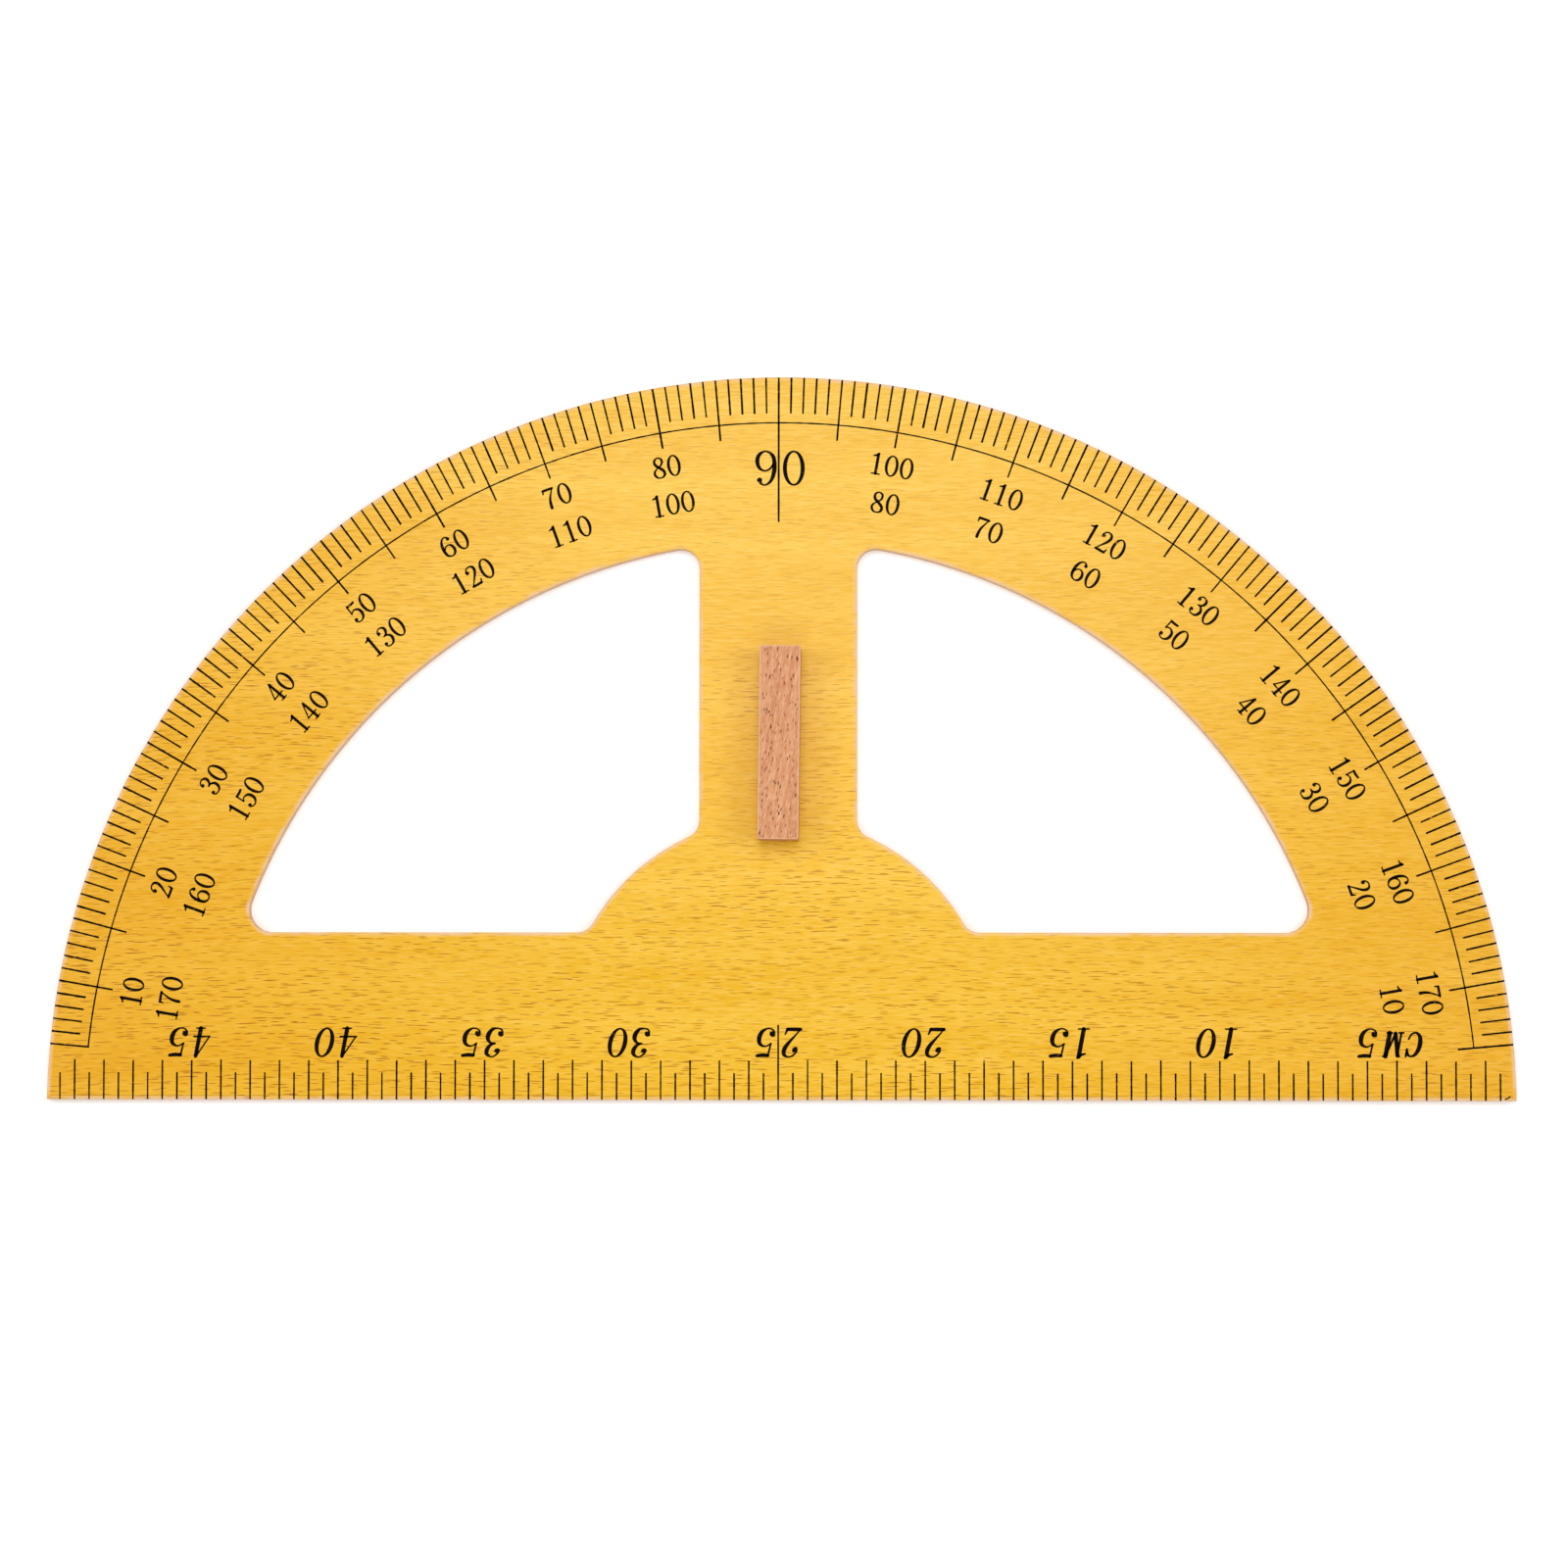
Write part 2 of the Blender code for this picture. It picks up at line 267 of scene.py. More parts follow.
def lacquered_beech(name, shift):
    """Beech veneer under brushed yellow lacquer.

    The lacquer tints the wood golden and leaves a satin gloss. The rays show as short brown
    dashes, 3 to 7 mm long, over pale and dark streaks, and grow stronger towards one corner,
    where the colour is also painted darker and more orange, as shade. Both ends are painted
    darker too, as shade falling off towards the sides.
    The rays are some 0.1 mm thick on the real wood and are drawn three times that, to show.
    """
    made, tree, shader = new_material(name)
    bands = add_node(tree, "TexNoise", {"Vector": grain_space(tree, 170, 14, shift),
                                        "Scale": 1.0, "Detail": 3.0})
    bands = add_node(tree, "MapRange", {"Value": bands, "From Min": 0.3, "From Max": 0.7})
    wood = add_node(tree, "Mix", {"Factor": bands, "A": linear("e9b00a"), "B": linear("f1bf38")},
                    "Result", data_type="RGBA")
    streaks = add_node(tree, "TexNoise", {"Vector": grain_space(tree, 6, 0.5, shift),
                                          "Scale": 1.0})
    pale = add_node(tree, "MapRange", {"Value": streaks, "From Min": 0.45, "From Max": 0.75,
                                       "To Max": 0.5})
    wood = add_node(tree, "Mix", {"Factor": pale, "A": wood, "B": linear("f9ce66")},
                    "Result", data_type="RGBA")
    dark = add_node(tree, "MapRange", {"Value": streaks, "From Min": 0.5, "From Max": 0.25,
                                       "To Max": 0.5})
    wood = add_node(tree, "Mix", {"Factor": dark, "A": wood, "B": linear("e0a200")},
                    "Result", data_type="RGBA")
    short_rays = flecks(tree, (6.2, 2.0), (3.6, 0.32), shift)
    long_rays = flecks(tree, (12.0, 3.4), (6.8, 0.38), (shift[0] + 0.03, shift[1] + 0.02, 0))
    rays = add_node(tree, "Math", {0: short_rays, 1: long_rays}, operation="MAXIMUM")
    place = add_node(tree, "TexCoord", {}, "Object")
    towards_corner = add_node(tree, "VectorMath", {0: place, 1: (-1.0, -2.5, 0.0)}, "Value",
                              operation="DOT_PRODUCT")
    strength = add_node(tree, "MapRange", {"Value": towards_corner, "From Min": -0.3,
                                           "From Max": 0.4, "To Min": 0.2, "To Max": 0.95})
    patches = add_node(tree, "TexNoise", {"Vector": grain_space(tree, 60, 16, shift),
                                          "Scale": 1.0})
    patches = add_node(tree, "MapRange", {"Value": patches, "From Min": 0.3, "From Max": 0.65,
                                          "To Min": 0.25, "To Max": 1.0})
    strength = add_node(tree, "Math", {0: strength, 1: patches}, operation="MULTIPLY")
    rays = add_node(tree, "Math", {0: rays, 1: strength}, operation="MULTIPLY")
    stain = add_node(tree, "MapRange", {"Value": rays, "From Max": 0.5, "To Max": 0.7})
    wood = add_node(tree, "Mix", {"Factor": stain, "A": wood, "B": linear("eaac00")},
                    "Result", data_type="RGBA")
    wood = add_node(tree, "Mix", {"Factor": rays, "A": wood, "B": linear("905000")},
                    "Result", data_type="RGBA")
    # Painted shade: the colour darkens towards both ends of the board, as the light falls off
    # there.
    side = add_node(tree, "SeparateXYZ", {"Vector": place}, "X")
    side = add_node(tree, "Math", {0: side}, operation="ABSOLUTE")
    painted_end_shade = add_node(tree, "MapRange", {"Value": side, "From Min": 60 * MM,
                                         "From Max": 250 * MM})
    wood = add_node(tree, "Mix", {"Factor": painted_end_shade, "A": wood, "B": linear("f8ecde")},
                    "Result", data_type="RGBA", blend_type="MULTIPLY")
    # Painted shade: darker and more orange towards the lower left corner.
    painted_corner_shade = add_node(tree, "MapRange", {"Value": towards_corner, "From Min": 0.25,
                                          "From Max": 0.5})
    wood = add_node(tree, "Mix", {"Factor": painted_corner_shade, "A": wood, "B": linear("fdfacc")},
                    "Result", data_type="RGBA", blend_type="MULTIPLY")
    edge_wear_and_highlight = add_node(tree, "Attribute", {}, "Fac", attribute_name="wear_plus_highlight")
    patchy = add_node(tree, "TexNoise", {"Vector": grain_space(tree, 9, 5, shift),
                                         "Scale": 1.0, "Detail": 3.0})
    patchy = add_node(tree, "MapRange", {"Value": patchy, "From Min": 0.4, "From Max": 0.6,
                                         "To Min": 0.25})
    edge_wear_and_highlight = add_node(tree, "Math", {0: edge_wear_and_highlight, 1: patchy}, operation="MULTIPLY")
    wood = add_node(tree, "Mix", {"Factor": edge_wear_and_highlight, "A": wood, "B": linear("e8bf92")},
                    "Result", data_type="RGBA")
    tree.links.new(wood, shader.inputs["Base Color"])
    gloss = add_node(tree, "MapRange", {"Value": bands, "To Min": 0.4, "To Max": 0.5})
    tree.links.new(gloss, shader.inputs["Roughness"])
    relief = add_node(tree, "Bump", {"Height": streaks, "Strength": 0.3, "Distance": 0.03 * MM})
    tree.links.new(relief, shader.inputs["Normal"])
    shader.inputs["Specular IOR Level"].default_value = 0.04
    shader.inputs["Coat Weight"].default_value = 0.28
    shader.inputs["Coat Roughness"].default_value = 0.22
    return made


def sawn_beech(name, pale, dark, turn):
    """Beech as the saw left it: matt, pinkish tan, with fine streaks and pores along the grain.

    Real pores are under 0.1 mm across. They are drawn 0.18 mm across, so that they show.
    """
    made, tree, shader = new_material(name)
    streaks = add_node(tree, "TexNoise", {"Vector": grain_space(tree, 12, 0.5, turn=turn),
                                          "Scale": 1.0, "Detail": 3.0})
    streaks = add_node(tree, "MapRange", {"Value": streaks, "From Min": 0.3, "From Max": 0.7})
    wood = add_node(tree, "Mix", {"Factor": streaks, "A": linear(dark), "B": linear(pale)},
                    "Result", data_type="RGBA")
    pores = flecks(tree, (2.2, 0.5), (1.2, 0.18), turn=turn, dimensions="3D")
    pores = add_node(tree, "Math", {0: pores, 1: 0.6}, operation="MULTIPLY")
    wood = add_node(tree, "Mix", {"Factor": pores, "A": wood, "B": linear("7c4f34")},
                    "Result", data_type="RGBA")
    tree.links.new(wood, shader.inputs["Base Color"])
    fuzz = add_node(tree, "Bump", {"Height": streaks, "Strength": 0.5, "Distance": 0.05 * MM})
    tree.links.new(fuzz, shader.inputs["Normal"])
    shader.inputs["Roughness"].default_value = 0.7
    return made


LACQUERED, SAWN = 0, 1
LONG_GRAIN = (math.radians(45), 0, 0)       # tipped so that faces and walls both cut the figure
CROSS_GRAIN = (0, math.radians(45), math.radians(90))
sawn_veneer = sawn_beech("sawn_beech_long_grain", "eac6a6", "d0a484", LONG_GRAIN)


def face_profile(joint, face):
    """A veneer's edge, from the glue joint to its lacquered face: sawn wall, then a round arris."""
    out = math.copysign(1, face - joint)
    arris = [(ARRIS * (1 - math.cos(t)), face - out * ARRIS * (1 - math.sin(t)), LACQUERED, 1.0)
             for t in np.radians((0, 22.5, 45, 67.5, 90))]
    return [(0.0, joint, SAWN, 0.0), *arris, (RUBBED_BAND, face, LACQUERED, 0.0)]


front = moulded_plate("front_veneer_sheet", PLY_LOOPS,
                      face_profile(UPPER_JOINT + GLUE / 2, FACE),
                      [lacquered_beech("lacquered_beech_front", (0, 0, 0)), sawn_veneer])
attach(front, "root")
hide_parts("front_veneer")

# ---------------------------------------------------------------------------------------------
# Core ply and its two glue lines. The middle sheet lies with its grain across the board, so the
# straight edge shows its end grain. Brown glue has dried just inside the cut.
# ---------------------------------------------------------------------------------------------
back_low, back_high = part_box("back_veneer")
LOWER_JOINT = (back_high.z + core_low.z) / 2
GLUE_SHRINK = 0.1 * MM                      # the film stops this far inside the cut


def square_profile(low, high, inset=0.0):
    """An edge that goes straight up."""
    return [(inset, low, 0, 0.0), (inset, high, 0, 0.0)]


core = moulded_plate("core_sheet", PLY_LOOPS,
                     square_profile(LOWER_JOINT + GLUE / 2, UPPER_JOINT - GLUE / 2),
                     [sawn_beech("sawn_beech_cross_grain", "dcb690", "be9068", CROSS_GRAIN)])
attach(core, "root")
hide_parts("core_ply")

# Dried wood glue: brown and slightly shiny, mottled every few millimetres
glue, tree, shader = new_material("dried_wood_glue")
mottle = add_node(tree, "TexNoise", {"Vector": grain_space(tree, 4, 4), "Scale": 1.0,
                                     "Detail": 3.0})
mottle = add_node(tree, "MapRange", {"Value": mottle, "From Min": 0.3, "From Max": 0.7})
mottle = add_node(tree, "Mix", {"Factor": mottle, "A": linear("6a482c"), "B": linear("946c48")},
                  "Result", data_type="RGBA")
tree.links.new(mottle, shader.inputs["Base Color"])
shader.inputs["Roughness"].default_value = 0.5
for name, joint in (("upper_glue_line", UPPER_JOINT), ("lower_glue_line", LOWER_JOINT)):
    film = moulded_plate(name, PLY_LOOPS,
                         square_profile(joint - GLUE / 2, joint + GLUE / 2, GLUE_SHRINK), [glue])
    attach(film, "root")

# ---------------------------------------------------------------------------------------------
# Back veneer. The same sheet as the front, from further along the log, with nothing printed on
# it and two countersunk holes for the handle's screws.
# ---------------------------------------------------------------------------------------------
HEAD_HOLE = 3.6 * MM                        # radius of the countersink at the back face
back_loops = BOARD_LOOPS + screw_hole_loops(HEAD_HOLE)
back = moulded_plate("back_veneer_sheet", back_loops,
                     face_profile(LOWER_JOINT - GLUE / 2, back_low.z)[::-1],
                     [lacquered_beech("lacquered_beech_back", (0.31, 0.17, 0)), sawn_veneer])
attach(back, "root")
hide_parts("back_veneer")

# ---------------------------------------------------------------------------------------------
# Handle. A sawn bar of bare beech, its arrises taken off with sandpaper, glued upright on the
# spine a touch off square and pulled down by two screws from behind.
# ---------------------------------------------------------------------------------------------
handle_low, handle_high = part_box("handle")
HANDLE_LENGTH = 65.5 * MM
HANDLE_WIDTH = 13.8 * MM
HANDLE_LEAN = math.radians(-0.65)
HANDLE_CORNER = 0.6 * MM
HANDLE_EASING = 0.5 * MM                    # radius of the sanded top edges
HANDLE_FOOT_EASING = 0.2 * MM
HANDLE_POINT_SPACING = 2 * MM
HANDLE_CORNER_STEPS = 5


def handle_loop():
    """The bar's outline: four rounded corners, and evenly spaced points along the straights."""
    r = HANDLE_CORNER
    x, y = HANDLE_WIDTH / 2 - r, HANDLE_LENGTH / 2 - r
    turn = math.pi / 2
    middles = ((x, -y), (x, y), (-x, y), (-x, -y))
    corners = [arc(middle, r, (i - 1) * turn, i * turn, HANDLE_CORNER_STEPS)
               for i, middle in enumerate(middles)]
    loop = []
    for corner, onward in zip(corners, corners[1:] + corners[:1]):
        steps = max(2, round(np.linalg.norm(onward[0] - corner[-1]) / HANDLE_POINT_SPACING))
        straight = corner[-1] + np.linspace(0, 1, steps + 1)[1:-1, None] * (onward[0] - corner[-1])
        loop += [corner, straight]
    return np.concatenate(loop)


def turned_about(loop, centre, angle):
    """The loop turned by an angle and moved to a centre."""
    c, s = math.cos(angle), math.sin(angle)
    return loop @ np.array(((c, s), (-s, c))) + np.array(centre[:2])


def sanded_beech(name):
    """Bare beech sanded smooth: warm pinkish tan, long slanting streaks and short open pores.
    Its rounded top edges are painted paler, as a highlight.

    Real pores are about 0.1 mm across. They are drawn 0.4 to 0.5 mm across, so that they show.
    """
    made, tree, shader = new_material(name)
    slant = (math.radians(45), 0, math.radians(81))
    streaks = add_node(tree, "TexNoise", {"Vector": grain_space(tree, 38, 1.8, turn=slant),
                                          "Scale": 1.0, "Detail": 4.0, "Roughness": 0.6})
    streaks = add_node(tree, "MapRange", {"Value": streaks, "From Min": 0.3, "From Max": 0.7})
    wood = add_node(tree, "Mix", {"Factor": streaks, "A": linear("be7546"),
                                  "B": linear("dc9d70")}, "Result", data_type="RGBA")
    sheen = add_node(tree, "TexNoise", {"Vector": grain_space(tree, 2.6, 0.5, turn=slant),
                                        "Scale": 1.0})
    sheen = add_node(tree, "MapRange", {"Value": sheen, "From Min": 0.45, "From Max": 0.75,
                                        "To Max": 0.7})
    wood = add_node(tree, "Mix", {"Factor": sheen, "A": wood, "B": linear("efbb92")},
                    "Result", data_type="RGBA")
    small_pores = flecks(tree, (3.0, 0.85), (1.4, 0.36), turn=slant, dimensions="3D")
    large_pores = flecks(tree, (4.8, 1.3), (1.8, 0.52), (0.03, 0.02, 0), slant, "3D")
    pores = add_node(tree, "Math", {0: small_pores, 1: large_pores}, operation="MAXIMUM")
    opened = add_node(tree, "TexNoise", {"Vector": grain_space(tree, 9, 3, turn=slant),
                                         "Scale": 1.0})
    opened = add_node(tree, "MapRange", {"Value": opened, "From Min": 0.35, "From Max": 0.6,
                                         "To Min": 0.25})
    pores = add_node(tree, "Math", {0: pores, 1: opened}, operation="MULTIPLY")
    wood = add_node(tree, "Mix", {"Factor": pores, "A": wood, "B": linear("62280e")},
                    "Result", data_type="RGBA")
    # Painted highlight: the rounded top edges are painted paler, where they would catch the light.
    edge_wear_and_highlight = add_node(tree, "Attribute", {}, "Fac", attribute_name="wear_plus_highlight")
    wood = add_node(tree, "Mix", {"Factor": edge_wear_and_highlight, "A": wood, "B": linear("eebd98")},
                    "Result", data_type="RGBA")
    tree.links.new(wood, shader.inputs["Base Color"])
    dents = add_node(tree, "Bump", {"Height": pores, "Distance": 0.15 * MM}, invert=True)
    tree.links.new(dents, shader.inputs["Normal"])
    shader.inputs["Roughness"].default_value = 0.6
    shader.inputs["Specular IOR Level"].default_value = 0.3
    return made


# The sanded top edges; the last value paints a highlight along the middle of each round.
eased = [(HANDLE_EASING * (1 - math.cos(t)), handle_high.z - HANDLE_EASING * (1 - math.sin(t)),
          0, math.sin(2 * t)) for t in np.radians((0, 18, 36, 54, 72, 90))]
handle_outline = turned_about(handle_loop(), (handle_low + handle_high) / 2, HANDLE_LEAN)
handle = moulded_plate("handle_bar", [handle_outline],
                       [(HANDLE_FOOT_EASING, FACE, 0, 0.0),
                        (0.0, FACE + HANDLE_FOOT_EASING, 0, 0.0), *eased],
                       [sanded_beech("sanded_beech_bar")])
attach(handle, "root")
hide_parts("handle")

# ---------------------------------------------------------------------------------------------
# Screws. Zinc-plated steel wood screws, countersunk, with a cross recess pressed into the head
# and a rolled thread. Only the heads show, flush with the back.
# ---------------------------------------------------------------------------------------------
HEAD_RADIUS = 3.5 * MM
HEAD_RIM = 0.3 * MM
SHANK_RADIUS = 1.4 * MM
THREAD_DEPTH = 0.35 * MM
THREAD_PITCH = 1.3 * MM
POINT_LENGTH = 2.6 * MM
RECESS_DEPTH = 1.3 * MM
RECESS_ARM = 1.8 * MM
RECESS_HALF_WIDTH = 0.45 * MM
SCREW_TURN_STEPS = 96
HEAD_ROWS = 29                              # rings of points over the head's face
SHANK_ROWS = 149                            # and down the neck, the thread and the point


def smooth_step(x, low, high):
    """0 below low, 1 above high, and 3t^2 - 2t^3 between."""
    t = np.clip((x - low) / (high - low), 0, 1)
    return t * t * (3 - 2 * t)


def screw_surface(place, low, high):
    """A screw turned about its axis, on a grid of rows down the profile by angles round it.

    The head's face is pressed in where a cross with tapered walls covers it. The thread lifts
    the shank by THREAD_DEPTH * tooth(z / pitch - angle / turn), fading at the neck and the point.
    """
    angle = np.arange(SCREW_TURN_STEPS) / SCREW_TURN_STEPS * math.tau
    face_radius = np.linspace(0, HEAD_RADIUS, HEAD_ROWS + 1)[1:]
    neck = low + HEAD_RIM + HEAD_RADIUS - SHANK_RADIUS
    shank_z = np.linspace(neck, high, SHANK_ROWS + 1)[:-1]
    radius = np.concatenate([face_radius, [HEAD_RADIUS], np.minimum(
        SHANK_RADIUS, SHANK_RADIUS * (high - shank_z) / POINT_LENGTH)])
    z = np.concatenate([np.full(HEAD_ROWS, low), [low + HEAD_RIM], shank_z])
    radius, z = (np.repeat(a[:, None], SCREW_TURN_STEPS, 1) for a in (radius, z))
    x, y = radius * np.cos(angle), radius * np.sin(angle)
    reach = np.maximum(np.minimum(abs(x) / RECESS_HALF_WIDTH, abs(y) / RECESS_HALF_WIDTH),
                       np.maximum(abs(x), abs(y)) / RECESS_ARM)
    head = np.arange(len(z))[:, None] < HEAD_ROWS
    z = z + np.where(head, RECESS_DEPTH * (1 - smooth_step(reach, 0.8, 1.1)), 0)
    tooth = (1 - abs((z / THREAD_PITCH - angle / math.tau) % 1 * 2 - 1)) ** 2
    grip = smooth_step(z, neck + 1 * MM, neck + 2 * MM) * (1 - smooth_step(z, high - 1 * MM, high))
    radius = radius + np.where(head, 0, THREAD_DEPTH * tooth * grip)
    rows = np.stack([place.x + radius * np.cos(angle), place.y + radius * np.sin(angle), z], 2)
    poles = [(place.x, place.y, low + RECESS_DEPTH), (place.x, place.y, high)]
    return np.concatenate([rows.reshape(-1, 3), poles]), len(z)


def turned_faces(rows, steps):
    """Quads between the rings of a turned surface and a fan to each of its two poles."""
    here = np.arange(rows * steps).reshape(rows, steps)
    on = np.roll(here, -1, 1)
    quads = np.stack([here[:-1], here[1:], on[1:], on[:-1]], 2).reshape(-1, 4).tolist()
    first, last = rows * steps, rows * steps + 1
    fans = [(first, a, b) for a, b in zip(here[0], on[0])]
    fans += [(last, b, a) for a, b in zip(here[-1], on[-1])]
    return quads + [tuple(int(i) for i in fan) for fan in fans]


# Bright zinc plate on rolled steel: a cool grey mirror, dulled in scuffs about 1 mm across
zinc, tree, shader = new_material("zinc_plated_steel")
scuffs = add_node(tree, "TexNoise", {"Vector": grain_space(tree, 0.9, 0.9), "Scale": 1.0,
                                     "Detail": 4.0, "Roughness": 0.7})
scuffs = add_node(tree, "MapRange", {"Value": scuffs, "From Min": 0.35, "From Max": 0.65})
plate = add_node(tree, "Mix", {"Factor": scuffs, "A": linear("9c9a90"), "B": linear("cfccc2")},
                 "Result", data_type="RGBA")
tree.links.new(plate, shader.inputs["Base Color"])
dulled = add_node(tree, "MapRange", {"Value": scuffs, "To Min": 0.45, "To Max": 0.28})
tree.links.new(dulled, shader.inputs["Roughness"])
shader.inputs["Metallic"].default_value = 1.0
for name in ("lower_screw", "upper_screw"):
    low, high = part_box(name)
    points, rows = screw_surface((low + high) / 2, low.z, high.z)
    faces = turned_faces(rows, SCREW_TURN_STEPS)
    screw = new_piece(name + "_threaded", points, faces, [True] * len(faces), [zinc])
    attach(screw, "root")
    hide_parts(name)

# ---------------------------------------------------------------------------------------------
# Degree ticks and their arc. Screen-printed ink, laid a little off the board's own centre: the
# ticks meet 2.7 mm below the straight edge, and the arc and the ends of the ticks are circles
# about a point 2.7 mm lower again.
# ---------------------------------------------------------------------------------------------
INK_TOP = FACE + 0.03 * MM                  # the ink stands this proud of the lacquer
INK_FOOT = FACE - 0.05 * MM                 # and beds into it
TICK_CENTRE = np.array((-0.5 * MM, EDGE - 2.7 * MM))
RING_CENTRE = np.array((-0.2 * MM, EDGE - 5.4 * MM))
ARC_LINE_RADIUS = 236.9 * MM
DEGREE_END_RADIUS = 240.1 * MM              # where the one-degree ticks stop
FIVE_DEGREE_END_RADIUS = 231.5 * MM         # where every fifth tick stops
RIGHT_ANGLE_END = EDGE + 197.4 * MM         # the 90 degree line runs down between its digits
LAST_TICK_OVERRUN = 0.4 * MM                # the tick at 175 stops just past the arc line
TICK_WIDTH = 0.66 * MM
ARC_LINE_WIDTH = 0.5 * MM
print_run = np.random.default_rng(50)       # each tick takes the ink a little differently

# Screen ink on lacquer: flat black with a brown cast, thin or missing in specks of a millimetre
ink, tree, shader = new_material("screen_printed_ink")
cast = add_node(tree, "TexNoise", {"Vector": grain_space(tree, 9, 9), "Scale": 1.0})
cast = add_node(tree, "MapRange", {"Value": cast, "From Min": 0.3, "From Max": 0.7})
black = add_node(tree, "Mix", {"Factor": cast, "A": linear("050301"), "B": linear("120a04")},
                 "Result", data_type="RGBA")
specks = add_node(tree, "TexNoise", {"Vector": grain_space(tree, 1.6, 1.6), "Scale": 1.0,
                                     "Detail": 3.0, "Roughness": 0.6})
specks = add_node(tree, "MapRange", {"Value": specks, "From Min": 0.66, "From Max": 0.74})
black = add_node(tree, "Mix", {"Factor": specks, "A": black, "B": linear("b9851f")},
                 "Result", data_type="RGBA")
tree.links.new(black, shader.inputs["Base Color"])
shader.inputs["Roughness"].default_value = 0.7
shader.inputs["Specular IOR Level"].default_value = 0.05


def ray_point(angle, radius):
    """Where the ray at an angle from the tick centre meets a circle about the ring centre."""
    ray = np.array((math.cos(angle), math.sin(angle)))
    off = TICK_CENTRE - RING_CENTRE
    along = -ray @ off + math.sqrt((ray @ off) ** 2 - off @ off + radius ** 2)
    return TICK_CENTRE + along * ray


def rim_point(angle, inset):
    """Where the ray at an angle from the tick centre meets the rim, less an inset."""
    ray = np.array((math.cos(angle), math.sin(angle)))
    off = TICK_CENTRE - ARC_CENTRE
    radius = BOARD_RADIUS - inset
    return TICK_CENTRE + ray * (-ray @ off + math.sqrt((ray @ off) ** 2 - off @ off + radius ** 2))


def inked_line(start, place, width):
    """Stations (x, y, width, drop) of a tick, from its inner end out over the arris.

    place(inset) gives the point that far in from the edge. A station every millimetre or so
    takes the ink a little wider or narrower, and the last few drop with the arris's round.
    """
    start, edge = np.array(start), np.array(place(ARRIS))
    count = max(3, round(np.linalg.norm(edge - start) / MM))
    run = start + np.linspace(0, 1, count)[:, None] * (edge - start)
    widths = width * print_run.uniform(0.88, 1.12, count)
    turns = np.radians((60, 30))
    last = [(*place(ARRIS * (1 - math.cos(t))), width, ARRIS * (1 - math.sin(t))) for t in turns]
    return np.concatenate([np.c_[run, widths, np.zeros(count)], last])


def ribbon_piece(name, ribbons, surface):
    """Printed lines as thin solids: a flat rectangle carried along each ribbon's stations.

    A ribbon is (stations, closed), and a station is (x, y, width, drop below the face).
    """
    points, faces, count = [], [], 0
    for stations, closed in ribbons:
        s = np.asarray(stations, float)
        step = np.roll(s[:, :2], -1, 0) - np.roll(s[:, :2], 1, 0) if closed \
            else np.gradient(s[:, :2], axis=0)
        step /= np.linalg.norm(step, axis=1, keepdims=True)
        side = np.c_[-step[:, 1], step[:, 0]] * s[:, 2:3] / 2
        left, right = s[:, :2] + side, s[:, :2] - side
        top, foot = INK_TOP - s[:, 3:4], INK_FOOT - s[:, 3:4]
        corners = np.stack([np.c_[left, top], np.c_[right, top], np.c_[right, foot],
                            np.c_[left, foot]], 1)
        here = count + np.arange(len(s) * 4).reshape(-1, 4)
        ahead = np.roll(here, -1, 0)
        strips = np.stack([here, np.roll(here, -1, 1), np.roll(ahead, -1, 1), ahead], 2)
        faces += (strips if closed else strips[:-1]).reshape(-1, 4).tolist()
        if not closed:
            faces += [here[0, ::-1].tolist(), here[-1].tolist()]
        points.append(corners.reshape(-1, 3))
        count += len(s) * 4
    piece = new_piece(name, np.concatenate(points), faces, [False] * len(faces), [surface])
    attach(piece, "root")


def degree_tick(degree):
    """One tick, from its inner end out over the rim. Every fifth crosses the arc line."""
    angle = math.radians(degree)
    end = ray_point(angle, FIVE_DEGREE_END_RADIUS if degree % 5 == 0 else DEGREE_END_RADIUS)
    if degree == 90:
        end = np.array((end[0], RIGHT_ANGLE_END))
    if degree == 175:
        end = ray_point(angle, ARC_LINE_RADIUS - LAST_TICK_OVERRUN)
    width = TICK_WIDTH * print_run.uniform(0.9, 1.1)
    return inked_line(end, lambda inset: rim_point(angle, inset), width), False


ribbon_piece("degree_ticks", [degree_tick(degree) for degree in range(5, 176)], ink)

arc_ends = [bearing(ray_point(math.radians(d), ARC_LINE_RADIUS) - RING_CENTRE) for d in (5, 175)]
arc_line = arc(RING_CENTRE, ARC_LINE_RADIUS, *arc_ends, 400)
arc_widths = ARC_LINE_WIDTH * print_run.uniform(0.85, 1.15, len(arc_line))
arc_stations = np.c_[arc_line, arc_widths, np.zeros(len(arc_line))]
ribbon_piece("degree_arc_line", [(arc_stations, False)], ink)

# ---------------------------------------------------------------------------------------------
# Degree numbers. Light upright numerals with fine hairlines and ball ends, printed in two rows
# with their heads outwards: one row counts from the left and the other from the right.
# ---------------------------------------------------------------------------------------------
# A numeral is drawn in a box one high, centred on x = 0, as strokes through (x, y, weight):
# weight 0 is a hairline, 1 a full stem and 2 a ball end. A closed stroke ends where it began.
BOWL = [(0.25 * math.cos(t), 0.5 + 0.47 * math.sin(t), abs(math.cos(t)) ** 1.3)
        for t in np.radians(range(0, 360, 20))]
SIX = [(0.17, 0.84, 1.5), (0.13, 0.93, 0.3), (0.02, 0.975, 0.0), (-0.13, 0.88, 0.5),
       (-0.22, 0.68, 1.0), (-0.25, 0.42, 1.1), (-0.20, 0.15, 0.8), (0.0, 0.025, 0.0),
       (0.18, 0.12, 0.8), (0.235, 0.31, 1.0), (0.17, 0.50, 0.6), (0.02, 0.575, 0.0),
       (-0.13, 0.51, 0.1), (-0.23, 0.36, 0.2)]
OPEN, CLOSED = False, True
